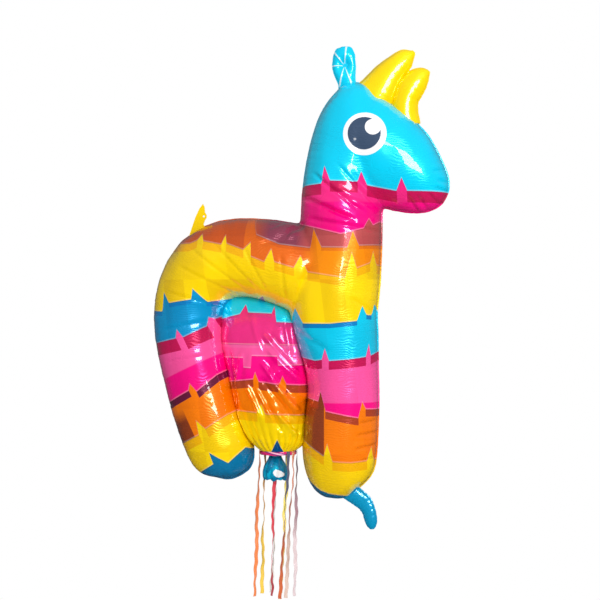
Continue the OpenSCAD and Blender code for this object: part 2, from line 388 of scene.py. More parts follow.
# Where each decoy leaves the ring, in degrees, and how far each ribbon's route sways along X and Y, in
# millimetres.
RIBBON_AT = [195, 144, 114, 70, 311, 331, 8]
RIBBON_SWAY = [
    [(0, 0), (0, 0), (-1, 0), (-2, 1), (-3, 1), (-4, 2), (-5, 2), (-6, 1), (-6, 0), (-5, -1), (-5, -1),
     (-6, 0), (-7, 1), (-8, 2), (-9, 2), (-9, 1), (-9, 0)],
    [(0, 0), (0, 0), (-1, 1), (-2, 2), (-3, 2), (-3, 1), (-2, 0), (-2, -1), (-3, -2), (-5, -2), (-5, -1),
     (-4, 0), (-4, 1), (-5, 2), (-6, 2), (-6, 1), (-6, 0)],
    [(0, 0), (0, 0), (1, 0), (2, -1), (3, -2), (4, -2), (3, -1), (1, 0), (0, 1), (0, 2), (1, 2),
     (1, 1), (0, 0), (-1, -1), (-2, -1), (-4, 0), (-5, 1)],
    [(0, 0), (0, 0), (-1, 1), (-1, 2), (-2, 2), (-3, 1), (-5, 0), (-6, -1), (-5, -2), (-5, -2), (-6, -1),
     (-7, 0), (-8, 1), (-9, 2), (-10, 2), (-11, 1), (-11, 0)],
    [(0, 0), (0, 0), (0, -1), (-1, -2), (-3, -3), (-5, -3), (-6, -2), (-6, -1), (-7, 0), (-8, 1), (-10, 1),
     (-11, 0), (-12, -1), (-13, -1), (-14, 0), (-15, 1), (-16, 1)],
    [(0, 0), (0, 0), (1, -1), (0, -2), (-2, -2), (-4, -1), (-6, 0), (-7, 1), (-7, 1), (-8, 0), (-9, -1),
     (-9, -2), (-10, -2), (-11, -1), (-12, 0), (-13, 1), (-14, 1)],
    [(0, 0), (0, 0), (0, 1), (-1, 2), (-2, 2), (-2, 1), (-1, 0), (-1, -1), (-3, -2), (-4, -1), (-4, 0),
     (-4, 1), (-3, 2), (-3, 1), (-4, 0), (-5, -1), (-5, -1)],
]
PULL_SWAY = [(0, 0), (0, 0), (-1, -1), (-2, -1), (-3, 0), (-4, 1), (-5, 1), (-4, 0), (-3, -1), (-4, -2),
             (-5, -2), (-6, -1), (-6, 0), (-6, 1), (-5, 1), (-6, 0)]


def ribbon_route(top, sway):
    """Points that go down from top to the ribbons' foot at even steps, each moved sideways by its sway."""
    down = np.linspace(0, RIBBON_FOOT - top[2], len(sway))
    return np.array(top) + np.column_stack([np.array(sway) * MM, down])


def ribbon_strip(name, route, start_angle):
    """A flat closed strip and its centre line. Across the strip, u runs from -1 to 1, and its section is a
    thin lens cupped by u squared. The strip turns by RIBBON_TURN from top to foot."""
    rows, columns = 180, 9
    centre = smooth_path(route, rows)
    share = np.linspace(0, 1, rows)[:, None]
    kink = rising(share, 0, 1 / 12) * RIBBON_KINK
    centre[:, :2] += kink * np.hstack([np.sin(share * 62 + start_angle),
                                       np.cos(share * 47 + 2 * start_angle)])
    angle = start_angle + RIBBON_TURN * share + 0.25 * np.sin(share * 23)
    u = np.linspace(-1, 1, columns)[None, :]
    cup = RIBBON_CUP * (u**2 - 0.5)
    across = np.stack([np.cos(angle), np.sin(angle), 0 * angle], axis=-1)
    out = np.stack([-np.sin(angle), np.cos(angle), 0 * angle], axis=-1)
    width = RIBBON_WIDTH / 2 * (1 - 0.06 * np.sin(share * 41) ** 2)
    middle = centre[:, None, :] + across * (u * width)[..., None]
    sides = [middle + out * (cup + side * RIBBON_SKIN / 2)[..., None] for side in (1, -1)]
    loop = np.concatenate([sides[0], sides[1][:, ::-1]], axis=1)
    round_it = 2 * columns
    piece = make_piece(name, loop, grid_faces(rows, round_it, wrap=True).tolist() + end_caps(rows, round_it))
    layer = piece.data.uv_layers.new(name="along")
    corner = np.empty(len(piece.data.loops), int)
    piece.data.loops.foreach_get("vertex_index", corner)
    place = corner % round_it
    first = np.where(place < columns, place, round_it - 1 - place) / (columns - 1)
    layer.data.foreach_set("uv", np.column_stack([first, corner // round_it / (rows - 1)]).ravel())
    return tidy_mesh(piece, merge=1e-7), centre


def slot_of(node):
    """The material slot that the record gives to this node."""
    return next(part["material_slot"] for part in frame["record"]["subparts"] if part["node"] == node)


def hang_ribbon(node, body_name, top, sway, start_angle, tints):
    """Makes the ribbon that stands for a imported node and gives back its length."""
    strip, centre = ribbon_strip(f"{node}_strip", ribbon_route(top, sway), start_angle)
    dress(strip, ribbon_material(f"{node} film", *tints), body_name, slot_of(node), node)
    length = round(float(run_along(centre)[-1]), 3)
    return length


PALE_PEACH = linear(240, 205, 180)
PALE_GOLD = linear(246, 232, 170)
SILVER = linear(214, 208, 206)
INK = linear(60, 78, 108)
RIBBON_TINTS = [
    (linear(224, 112, 44), linear(226, 112, 24), PALE_PEACH),
    (linear(226, 160, 60), linear(232, 190, 40), PALE_GOLD),
    (SILVER, linear(226, 220, 214), WHITE),
    (linear(236, 214, 70), linear(230, 190, 60), WHITE),
    (INK, linear(204, 96, 40), linear(150, 80, 90)),
    (linear(204, 104, 48), linear(206, 176, 160), WHITE),
    (linear(160, 116, 128), linear(206, 184, 186), WHITE),
]
RED_TINT = (linear(210, 24, 54), linear(196, 36, 56), linear(240, 150, 150))
NECK_OFF = -6 * MM
decoy_radius = ring_radius + TAB_OUT
for number, (degrees, sway, tints) in enumerate(zip(RIBBON_AT, RIBBON_SWAY, RIBBON_TINTS), start=1):
    node = f"ribbon_{number}"
    angle = math.radians(degrees)
    top = (ring_middle.x + decoy_radius * math.cos(angle), decoy_radius * math.sin(angle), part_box(node)[1].z)
    hang_ribbon(node, f"decoy_{number}", top, sway, angle + math.pi / 2, tints)
pull_top = (ring_middle.x + NECK_OFF, 0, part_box("pull_ribbon")[1].z)
pull_length = hang_ribbon("pull_ribbon", "pull_neck", pull_top, PULL_SWAY, 0, RED_TINT)
print("pull ribbon is", pull_length, "m long")


# %% [markdown]
# ## Printed foil
# The film is polyester with a metal coat. It is printed to look like rows of paper fringe: each colour ends
# in a stepped edge, sharp notches reach up into it from the colour below, and a darker strip lies under the
# edge. An edge is a height that depends on the place across the balloon, so a Float Curve holds it, and one
# node group paints every edge from the height over that curve.

# %% Edge curves
def edge_height(t, across, points):
    """Height of a fringe edge at the place across, by straight lines between points given in millimetres."""
    xz = np.array([p[:2] for p in points], float) * MM
    low, high = xz.min(axis=0) - 0.002, xz.max(axis=0) + 0.002
    share = (xz - low) / (high - low)
    place = t.math("DIVIDE", t.minus(across, low[0]), high[0] - low[0])
    node = t.add("ShaderNodeFloatCurve", {"Factor": 1.0, "Value": place})
    curve = node.mapping.curves[0]
    curve.points[0].location = (0, share[0, 1])
    curve.points[1].location = (1, share[-1, 1])
    for x, z in share:
        curve.points.new(x, z)
    for point in curve.points:
        point.handle_type = "VECTOR"
    node.mapping.extend = "HORIZONTAL"
    node.mapping.update()
    return t.line(node.outputs[0], high[1] - low[1], low[1])


def make_fringe_group():
    """Colour above, below and just under a fringe edge. Drop is how far a point lies below the notched edge,
    and Plain drop the same below the edge without its notches. The strip lies under the plain edge, between
    notches."""
    group, t, given, made = new_group(
        "Fringe edge",
        [("Drop", "value", 0.0), ("Plain drop", "value", 0.0), ("Above", "colour", None),
         ("Below", "colour", None), ("Strip", "colour", None), ("Depth", "value", 0.015)],
        [("Colour", "colour")])
    drop, plain = given["Drop"], given["Plain drop"]
    past_strip = t.math("DIVIDE", t.minus(plain, given["Depth"]), 0.8 * MM, clamp=True)
    in_strip = t.times(t.step(plain, 0.0, 0.6 * MM), t.minus(1.0, past_strip))
    strip = t.times(in_strip, t.under(t.minus(drop, plain), 1.5 * MM, 1.0 * MM))
    lower = t.mix(strip, given["Below"], given["Strip"])
    dark_line = t.times(t.step(drop, 0.0, 0.4 * MM), t.under(drop, 1.1 * MM, 0.6 * MM))
    lower = t.mix(t.times(dark_line, 0.35), lower, (0.02, 0.0, 0.02))
    pale_line = t.step(drop, -2.2 * MM, 0.6 * MM)
    upper = t.mix(t.times(pale_line, 0.16), given["Above"], (1.0, 0.95, 0.85))
    t.wire(made, {"Colour": t.mix(t.step(drop, 0.0, 0.5 * MM), upper, lower)})
    return group


FRINGE = make_fringe_group()


def fringe(t, across, height, points, above, below, strip, depth=15):
    """The colours of two printed bands that meet at the edge through points. A point with a third entry is
    the tip of a notch."""
    drop = t.minus(edge_height(t, across, points), height)
    plain = t.minus(edge_height(t, across, [p for p in points if len(p) == 2]), height)
    return t.add("ShaderNodeGroup", {"Drop": drop, "Plain drop": plain, "Depth": depth * MM, "Above": above,
                                     "Below": below, "Strip": strip}, node_tree=FRINGE).outputs[0]


# %% Where the printed edges lie
# Each point is a place along X and a height Z in millimetres, and a 1 after them marks the tip of a notch.
HEAD_EDGE = [(-79, -230), (-36, -228), (-30, -195, 1), (-19, -223), (31, -225), (38, -206, 1), (48, -231),
             (102, -242), (112, -218, 1), (122, -242), (190, -243), (209, -244)]
NECK_EDGE = [(-170, -246), (-112, -268), (-84, -300), (-76, -303), (-36, -313), (1, -322), (42, -311),
             (51, -293, 1), (58, -305), (68, -298)]
MAUVE_EDGE = [(-300, -270), (-172, -270), (-158, -322), (-114, -340), (-57, -347), (-51, -311, 1),
              (-35, -346), (13, -347), (23, -316, 1), (34, -343), (72, -341)]
BACK_EDGE = [(-287, -337), (-272, -331), (-264, -319, 1), (-259, -333), (-223, -340), (-216, -321, 1),
             (-213, -338), (-181, -350), (-167, -336, 1), (-166, -363), (-141, -373), (-128, -348, 1),
             (-122, -373), (-86, -384), (-74, -361, 1), (-61, -392), (9, -403), (21, -355, 1), (30, -385),
             (53, -375), (58, -353, 1), (63, -379)]
LEG_TOP_EDGE = [(-370, -464), (-338, -465), (-336.5, -428, 1), (-324, -449), (-280, -442), (-278, -422, 1),
                (-252, -447), (-199, -439), (-99, -487), (-88, -458, 1), (-71, -487), (-20, -487), (30, -482),
                (39, -454, 1), (46, -471), (54, -472), (59, -450, 1), (65, -473)]
FORE_BLUE_EDGE = [(-77, -551), (-49, -556), (-35, -554), (-29, -533, 1), (-21, -556), (16, -553), (45, -549),
                  (50, -525, 1), (53, -547), (65, -540)]
FORE_PINK_EDGE = [(-78, -625), (-43, -632), (-38, -614, 1), (-28, -650), (32, -662), (39, -632, 1),
                  (45, -646), (66, -648)]
FORE_ORANGE_EDGE = [(-78, -705), (-32, -733), (-25, -710, 1), (-15, -743), (18, -745), (46, -743),
                    (54, -717, 1), (57, -743), (65, -742)]
FORE_FOOT_EDGE = [(-73, -778), (-64, -785), (-42, -800), (-25, -806), (8, -812), (25, -794, 1), (35, -803),
                  (51, -805)]
# The hind leg's edges are drawn along and across the leg, which leans by HIND_LEAN.
HIND_LEAN = math.radians(25)
HIND_BLUE_EDGE = [(-553, -324), (-499, -336), (-490, -322, 1), (-485, -340), (-439, -339), (-429, -325, 1),
                  (-421, -332), (-409, -332)]
HIND_PINK_EDGE = [(-579, -439), (-519, -435), (-511, -424, 1), (-505, -443), (-461, -430), (-448, -429)]
HIND_ORANGE_EDGE = [(-582, -520), (-537, -518), (-530, -492, 1), (-520, -513), (-474, -506), (-456, -506)]
HIND_FOOT_EDGE = [(-580, -584), (-537, -579), (-534, -556, 1), (-511, -589), (-472, -576), (-459, -590)]
SKIRT_BLUE_EDGE = [(-241, -481), (-197, -470), (-187, -452, 1), (-181, -467), (-136, -469), (-132, -455, 1),
                   (-126, -485), (-79, -487)]
SKIRT_ROSE_EDGE = [(-241, -526), (-180, -527), (-132, -527), (-128, -515, 1), (-120, -528), (-79, -529)]
SKIRT_LIGHT_EDGE = [(-241, -552), (-186, -552), (-185, -570), (-170, -571), (-169, -548), (-120, -549),
                    (-119, -566), (-79, -566)]
SKIRT_PINK_EDGE = [(-241, -602), (-209, -597), (-166, -592), (-162, -579, 1), (-155, -597), (-117, -601),
                   (-111, -586, 1), (-104, -602), (-67, -604)]
SKIRT_ORANGE_EDGE = [(-241, -649), (-190, -653), (-159, -655), (-151, -637, 1), (-143, -657), (-79, -660)]
SKIRT_FOOT_EDGE = [(-164, -738), (-140, -738), (-122, -706, 1), (-108, -738), (-79, -738)]
print("fringe edges drawn")


# %% [markdown]
# ## The foil's surface
# Air pressure pulls the film tight, but it can't stretch, so fine ripples run round the limbs where it is
# drawn in. They are far finer than the mesh, so a shared group makes them as a height for a Bump node. The
# metal coat reflects sharply through the clear print, so the Principled shader mixes some metal with a hard
# clear coat.

# %% Foil surface group
def make_ripple_group():
    """Height of the foil's fine ripples, from 0 to 1. Bands run across Along, wander with noise, and come
    and go in patches. A coarser crumple is added with its own share."""
    group, t, given, made = new_group(
        "Foil ripples",
        [("Place", "vector", None), ("Along", "value", 0.0), ("Spacing", "value", 0.0032),
         ("Crumple", "value", 0.4)],
        [("Height", "value"), ("Patch", "value")])
    wander = t.noise(given["Place"], 22.0, 2.0)
    patch = t.above(t.noise(given["Place"], 11.0, 3.0), 0.43, 5.0)
    turns = t.plus(t.math("DIVIDE", given["Along"], given["Spacing"]), t.times(wander, 9.0))
    wave = t.line(t.math("SINE", t.times(turns, 2 * math.pi)), 0.5, 0.5)
    crumple = t.noise(given["Place"], 48.0, 4.0, Roughness=0.55, Distortion=0.6)
    height = t.line(crumple, given["Crumple"], t.times(t.times(wave, patch), 0.6))
    t.wire(made, {"Height": height, "Patch": patch})
    return group


RIPPLES = make_ripple_group()


def foil(name, paint, spacing=4.8, crumple=0.25, depth=1.6, metal=0.2, rough=0.24):
    """Glossy metallised film. paint(t, x, y, z) gives its printed colour. spacing is that of the ripples and
    depth that of the bump, both in millimetres. The colour is a little darker in soft patches."""
    material, t, shader = new_material(name)
    place, x, y, z = t.place()
    colour = paint(t, x, y, z)
    ripple = t.add("ShaderNodeGroup", {"Place": place, "Along": z, "Spacing": spacing * MM,
                                       "Crumple": crumple}, node_tree=RIPPLES).outputs
    darker = t.mix(1.0, colour, (0.72, 0.70, 0.74), "MULTIPLY")
    patches = t.math("MULTIPLY", t.minus(0.62, t.noise(place, 7.0, 2.0)), 1.4, clamp=True)
    t.wire(shader, {
        "Base Color": t.mix(patches, colour, darker),
        "Roughness": t.line(ripple["Patch"], 0.07, rough),
        "Normal": t.bump(ripple["Height"], 0.35, depth * MM),
        "Metallic": metal,
        "Specular IOR Level": 0.2,
        "Coat Weight": 1.0,
        "Coat Roughness": 0.05,
        "Coat IOR": 1.5,
    })
    return material


def disc_mask(t, x, z, centre, radius):
    """1 inside the circle round centre in the plane of X and Z, and 0 outside it, all in millimetres."""
    dx = t.minus(x, centre[0] * MM)
    dz = t.minus(z, centre[1] * MM)
    away = t.math("SQRT", t.plus(t.times(dx, dx), t.times(dz, dz)))
    return t.under(away, radius * MM, 0.6 * MM)


# %% Body print
FLAP_WIDTH = 43 * MM
FLAP_HEIGHT = 81 * MM
CHIN_HEIGHT = -262 * MM
BETWEEN_LEGS = -150 * MM
# Each disc of the eye: its centre along X and Z and its radius in millimetres, its strength and its colour.
EYE_DISCS = [((45, -137), 40, 1.0, WHITE), ((44, -136), 30.5, 1.0, SLATE), ((60, -124), 15, 1.0, WHITE),
             ((27, -147), 2.5, 0.4, WHITE)]
# Bands from the top down: the edge, the colour below it, the strip's colour and the strip's depth in
# millimetres.
FORE_LOW_BANDS = [(FORE_ORANGE_EDGE, SUN, STRAW, 16), (FORE_FOOT_EDGE, SHADED_FOOT_BLUE, SHADED_FOOT_BLUE, 4)]
HIND_LOW_BANDS = [(HIND_ORANGE_EDGE, SUN, STRAW, 16), (HIND_FOOT_EDGE, SHADED_FOOT_BLUE, SHADED_FOOT_BLUE, 4)]
SKIRT_BANDS = [
    (SKIRT_BLUE_EDGE, linear(236, 44, 130), linear(220, 50, 130), 8),
    (SKIRT_ROSE_EDGE, ROSE, linear(250, 96, 164), 6),
    (SKIRT_LIGHT_EDGE, MAGENTA, MAGENTA, 4), (SKIRT_PINK_EDGE, AMBER, BROWN, 14),
    (SKIRT_ORANGE_EDGE, SUN, STRAW, 16), (SKIRT_FOOT_EDGE, linear(0, 80, 140), SKY, 4),
]


def fringes(t, across, height, bands, colour):
    """Paints one band below the other, from the colour at the top."""
    for edge, below, strip, depth in bands:
        colour = fringe(t, across, height, edge, colour, below, strip, depth)
    return colour


def turned(t, x, z, angle):
    """The places along and across a line that leans by angle, in the plane of X and Z."""
    cosine, sine = math.cos(angle), math.sin(angle)
    return t.line(z, cosine, t.times(x, -sine)), t.line(x, cosine, t.times(z, sine))


def flap_tone(t, x, z, colour):
    """Each paper flap of the print is a little lighter or darker than its neighbours: the tone is random for
    each cell of a grid as wide as a flap."""
    column = t.math("FLOOR", t.math("DIVIDE", t.line(z, 0.12, x), FLAP_WIDTH))
    row = t.math("FLOOR", t.math("DIVIDE", z, FLAP_HEIGHT))
    cell = t.line(row, 7.31, column)
    tone = t.add("ShaderNodeTexWhiteNoise", {"W": cell}, noise_dimensions="1D").outputs["Value"]
    return t.mix(t.times(tone, 0.6), colour, t.mix(1.0, colour, (0.80, 0.72, 0.76), "MULTIPLY"))


def paint_trunk(t, x, z):
    """Head, neck, chest and back, down to the tops of the legs."""
    neck_pink = t.mix(t.step(z, CHIN_HEIGHT, 0.004), MAGENTA, NECK_ROSE)
    back_orange = t.mix(t.step(x, -0.180, 0.001), RUST, FLAP_ORANGE)
    orange = t.mix(t.step(x, -0.057, 0.03), back_orange, CHEST_ORANGE)
    shaded = t.mix(t.step(x, -0.152, 0.035), RUST, PLUM)
    mauve = t.mix(t.step(x, -0.075, 0.02), shaded, MAUVE)
    # The hind leg's blue is painted darker than the fore leg's: painted shade, as the light comes from the
    # right.
    leg_blue = t.mix(t.step(x, BETWEEN_LEGS, 0.001), linear(0, 150, 205), linear(0, 203, 236))
    return fringes(t, x, z, [
        (HEAD_EDGE, neck_pink, CRIMSON, 20), (NECK_EDGE, mauve, mauve, 4),
        (MAUVE_EDGE, orange, t.mix(0.5, orange, RUST), 6), (BACK_EDGE, SUN, STRAW, 15),
        (LEG_TOP_EDGE, leg_blue, linear(0, 130, 196), 8)], SKY)


def paint_fore_leg(t, x, z, colour):
    """Pink, then orange with a dark flap at the back, yellow and the blue foot."""
    pink = t.mix(t.step(z, -0.634, 0.002), MAGENTA, ROSE)
    orange = t.mix(t.step(x, -0.031, 0.001), DARK_RUST, AMBER)
    upper = [(FORE_BLUE_EDGE, pink, CRIMSON, 16), (FORE_PINK_EDGE, orange, BROWN, 13)]
    return fringes(t, x, z, upper + FORE_LOW_BANDS, colour)


def paint_hind_leg(t, x, z, colour):
    """The same bands, drawn along and across the leaning leg."""
    along, across = turned(t, x, z, HIND_LEAN)
    pink = t.mix(t.step(along, -0.395, 0.002), MAGENTA, ROSE)
    dark_share = t.times(t.under(across, -0.546, 0.001), t.under(along, -0.472, 0.025))
    orange = t.mix(dark_share, AMBER, DARK_RUST)
    upper = [(HIND_BLUE_EDGE, pink, CRIMSON, 24), (HIND_PINK_EDGE, orange, linear(110, 24, 60), 12)]
    return fringes(t, across, along, upper + HIND_LOW_BANDS, colour)


def paint_body(t, x, y, z):
    """The animal's bands from the head down, its flaps' tones and its eye."""
    trunk = paint_trunk(t, x, z)
    hind, fore = paint_hind_leg(t, x, z, trunk), paint_fore_leg(t, x, z, trunk)
    colour = t.mix(t.step(x, BETWEEN_LEGS, 0.001), hind, fore)
    colour = t.mix(t.step(z, CHIN_HEIGHT, 0.001), flap_tone(t, x, z, colour), colour)
    for centre, radius, strength, tint in EYE_DISCS:
        colour = t.mix(t.times(disc_mask(t, x, z, centre, radius), strength), colour, tint)
    return colour


def paint_skirt(t, x, y, z):
    """The pouch's bands, which go on from the legs' colours."""
    return fringes(t, x, z, SKIRT_BANDS, SKY)


body_foil = foil("printed body foil", paint_body)
skirt_foil = foil("printed pouch foil", paint_skirt, crumple=0.8, depth=1.2, metal=0.25, rough=0.18)


def paint_mane(t, x, y, z):
    """Yellow, a touch lighter towards the mane's tips."""
    return t.mix(t.step(z, -20 * MM, 60 * MM), SUN, linear(255, 220, 0))


yellow_foil = foil("yellow mane foil", paint_mane, spacing=3.4, crumple=0.2, depth=0.8)
# The creases that run out from the ear's hang hole, in degrees from +X.
EAR_RAYS = [84, 128, 183, 256, 292]
EAR_FOOT = -40 * MM


def paint_blue(t, x, y, z):
    """Sky blue on the ear, with painted highlights: thin pale rays along the creases that run out from the
    hang hole. A darker blue on the filling neck."""
    colour = t.mix(t.step(z, -0.5, 0.2), linear(0, 146, 190), SKY)
    # Painted highlight: pale rays along the ear's creases, where the film would catch the light.
    crease_highlight = 0.0
    for degrees in EAR_RAYS:
        cosine, sine = math.cos(math.radians(degrees)), math.sin(math.radians(degrees))
        outward = t.line(x, cosine, t.times(z, sine))
        aside = t.math("ABSOLUTE", t.line(x, sine, t.times(z, -cosine)))
        beyond = t.minus(aside, t.times(outward, 0.04))
        ray = t.times(t.step(outward, 3.5 * MM, 2 * MM), t.under(beyond, 0.4 * MM, 0.5 * MM))
        crease_highlight = t.math("MAXIMUM", crease_highlight, ray)
    on_ear = t.step(z, EAR_FOOT, 4 * MM)
    return t.mix(t.times(t.times(crease_highlight, on_ear), 0.75), colour, (0.86, 0.96, 0.98))


blue_foil = foil("blue foil", paint_blue, spacing=6.0, crumple=0.12, depth=0.7)
print("foil materials", [m.name for m in bpy.data.materials if "foil" in m.name])


# %% [markdown]
# ## The inflated body
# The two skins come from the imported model: their outer faces are copied, closed and remeshed into even
# quads, which rounds the places where the limbs meet. Then the film's own shape is added in code. A flat
# sheet that is blown up has too much edge for its new outline, so it gathers into puckers all along the
# weld.

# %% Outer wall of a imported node
def outer_wall(name, nodes):
    """A new closed mesh from the outward faces of these nodes: those whose normal points away from Y = 0."""
    bm = bmesh.new()
    for node in nodes:
        bm.from_mesh(frame["nodes"][node].data)
    bmesh.ops.remove_doubles(bm, verts=bm.verts, dist=1e-5)
    bm.normal_update()
    inner = [f for f in bm.faces if f.normal.y * f.calc_center_median().y <= 1e-9]
    bmesh.ops.delete(bm, geom=inner, context="FACES")
    bmesh.ops.remove_doubles(bm, verts=bm.verts, dist=2e-5)
    bmesh.ops.holes_fill(bm, edges=[e for e in bm.edges if e.is_boundary], sides=0)
    bmesh.ops.recalc_face_normals(bm, faces=bm.faces)
    mesh = bpy.data.meshes.new(name)
    bm.to_mesh(mesh)
    bm.free()
    return add_object(name, mesh)


def even_skin(obj, voxel, rounds):
    """Remeshes to even quads of this size and smooths them for some rounds."""
    remesh = obj.modifiers.new("even", "REMESH")
    remesh.mode = "VOXEL"
    remesh.voxel_size = voxel
    smooth = obj.modifiers.new("soft", "SMOOTH")
    smooth.iterations = rounds
    smooth.factor = 0.5
    return apply_modifiers(obj)


def near_half(obj):
    """Cuts the mesh at Y = 0 and keeps its near side, with the cut's points exactly on the plane."""
    bm = bmesh.new()
    bm.from_mesh(obj.data)
    geometry = bm.verts[:] + bm.edges[:] + bm.faces[:]
    bmesh.ops.bisect_plane(bm, geom=geometry, dist=0.6 * MM, plane_co=(0, 0, 0), plane_no=(0, 1, 0),
                           clear_outer=True)
    obj.data.clear_geometry()
    bm.to_mesh(obj.data)
    bm.free()
    return obj


def subdivided(obj):
    """One round of subdivision, applied."""
    modifier = obj.modifiers.new("finer", "SUBSURF")
    modifier.levels = modifier.render_levels = 1
    return apply_modifiers(obj)


def weld_loop(obj):
    """The longest chain of open edges in Y = 0, in order round the piece, as points. The edges are held in
    the mesh's own order, so the chain starts at the same place in every run."""
    bm = bmesh.new()
    bm.from_mesh(obj.data)
    bm.verts.ensure_lookup_table()
    open_edges = dict.fromkeys(e for e in bm.edges if e.is_boundary)
    loops = []
    while open_edges:
        edge = next(iter(open_edges))
        del open_edges[edge]
        chain = [edge.verts[0], edge.verts[1]]
        while True:
            step = next((e for e in chain[-1].link_edges if e in open_edges), None)
            if step is None:
                break
            del open_edges[step]
            chain.append(step.other_vert(chain[-1]))
        loops.append([tuple(v.co) for v in chain])
    bm.free()
    return np.array(max(loops, key=len))


body = subdivided(near_half(even_skin(outer_wall("near_body_foil", ["near_skin", "far_skin"]), 4.4 * MM, 12)))
print("body half has", len(body.data.polygons), "faces")


# %% Weld line measures
def nearest_on_loop(points, loop):
    """For each point, its distance from the loop in X and Z and the length along the loop at the nearest
    place."""
    run = run_along(loop)
    even = np.arange(0, run[-1], 4 * MM)
    spots = np.column_stack([np.interp(even, run, loop[:, axis]) for axis in (0, 2)])
    away, along = np.empty(len(points)), np.empty(len(points))
    batch = 4000
    for first in range(0, len(points), batch):
        part = slice(first, first + batch)
        gap = points[part][:, None, [0, 2]] - spots[None]
        squared = (gap**2).sum(axis=-1)
        best = squared.argmin(axis=1)
        away[part] = np.sqrt(squared[np.arange(len(best)), best])
        along[part] = even[best]
    return away, along


def wander(seed, count, low, high):
    """count random steps between low and high, the same for the same seed."""
    return np.random.default_rng(seed).uniform(low, high, count)


def pucker_height(along, seed, spacing):
    """Soft bulges with sharp valleys between them: the size of a sine whose turns have random lengths. Each
    bulge has its own height."""
    total = float(along.max()) + 0.1
    gaps = wander(seed, int(total / spacing / 0.6) + 8, 0.6 * spacing, 1.5 * spacing)
    knots = np.concatenate([[0], np.cumsum(gaps)])
    turn = np.interp(along, knots, np.arange(len(knots)))
    heights = wander(seed + 1, len(knots) + 1, 0.25, 1.0)
    which = turn.astype(int)
    return np.abs(np.sin(np.pi * turn)) ** 0.8 * heights[which] - 0.35, heights[which]


def crease(points, start, end, depth, width):
    """Depth of a fold along the line from start to end in X and Z, in metres: deepest on the line and gone
    at a few widths to its sides and past its ends. A soft ridge lies along one of its sides."""
    a, b = np.array(start) * MM, np.array(end) * MM
    width = width * MM
    length = np.linalg.norm(b - a)
    line = (b - a) / length
    xz = points[:, [0, 2]] - a
    along = xz @ line / length
    side = xz @ np.array([-line[1], line[0]])
    ends = np.clip(np.minimum(along, 1 - along) * 5 + 0.3, 0, 1)
    valley = np.exp(-((side / width) ** 2))
    ridge = np.exp(-(((side - 2 * width) / (2 * width)) ** 2))
    return depth * MM * ends * (valley - 0.4 * ridge)


def crumpled(points, seed, count, height, waves):
    """Sharp folds: the sum of triangle waves in random directions, each faded in and out along its own
    line."""
    random = np.random.default_rng(seed)
    lift = np.zeros(len(points))
    for _ in range(count):
        direction = random.normal(0, 1, 3)
        direction /= np.linalg.norm(direction)
        fade = random.normal(0, 1, 3)
        turns = points @ direction * random.uniform(*waves) + random.uniform(0, 1)
        triangle = np.abs((turns % 1) - 0.5) * 4 - 1
        lift += triangle * np.clip(np.sin(points @ fade * 22 + random.uniform(0, 6.3)), 0, 1)
    return lift * height / math.sqrt(count)


# Each fold of the body: where it starts and ends along X and Z, its depth and its width, in millimetres.
BODY_CREASES = [
    ((-50, -210), (40, -280), 4, 3.5), ((-3, -195), (62, -268), 3, 3), ((-72, -250), (26, -296), 5, 4),
    ((-60, -292), (68, -316), 3, 4), ((20, -205), (70, -262), 2, 3), ((-120, -330), (-70, -300), 4, 6),
    ((-150, -338), (-80, -330), 3, 6), ((-305, -380), (-200, -432), 1.1, 3),
    ((-285, -345), (-180, -425), 1.2, 3), ((-240, -335), (-160, -420), 1.2, 3),
    ((-180, -345), (-140, -425), 1.2, 3), ((-110, -360), (-105, -440), 1.4, 4),
    ((-325, -430), (-225, -455), 1.2, 3), ((-335, -500), (-240, -480), 1.2, 4),
    ((20, -440), (62, -470), 2, 4), ((-85, -500), (-20, -540), 2, 6), ((30, -694), (70, -690), 3, 3),
    ((26, -720), (70, -712), 3, 3), ((32, -672), (70, -668), 2.5, 3), ((36, -742), (68, -736), 2, 3),
    ((-86, -284), (-136, -312), 1.6, 3), ((-84, -290), (-108, -336), 1.4, 3),
    ((-90, -278), (-150, -288), 1.2, 3), ((-40, -80), (-10, -60), 2, 4), ((122, -250), (144, -286), 3, 3),
    ((140, -250), (164, -282), 3, 3), ((158, -244), (184, -270), 3, 3), ((172, -234), (204, -246), 2.5, 3),
    ((176, -222), (206, -226), 2.5, 3), ((168, -206), (194, -200), 2, 3),
    ((-44, -212), (-8, -246), 2.0, 2.5), ((-8, -246), (60, -271), 2.0, 3),
    ((-76, -253), (-27, -275), 2.0, 2.5), ((-27, -275), (14, -290), 2.0, 3),
    ((-330, -560), (-260, -548), 1, 3), ((-40, -291), (22, -300), -3, 8),
]


PUCKER_SPACING = 12 * MM
PUCKER_HEIGHT = 1.8 * MM
PUCKER_REACH = 14 * MM
SWELL = 1.2 * MM
WAVE_HEIGHT = 0.3 * MM
WELD_CALM = 4 * MM


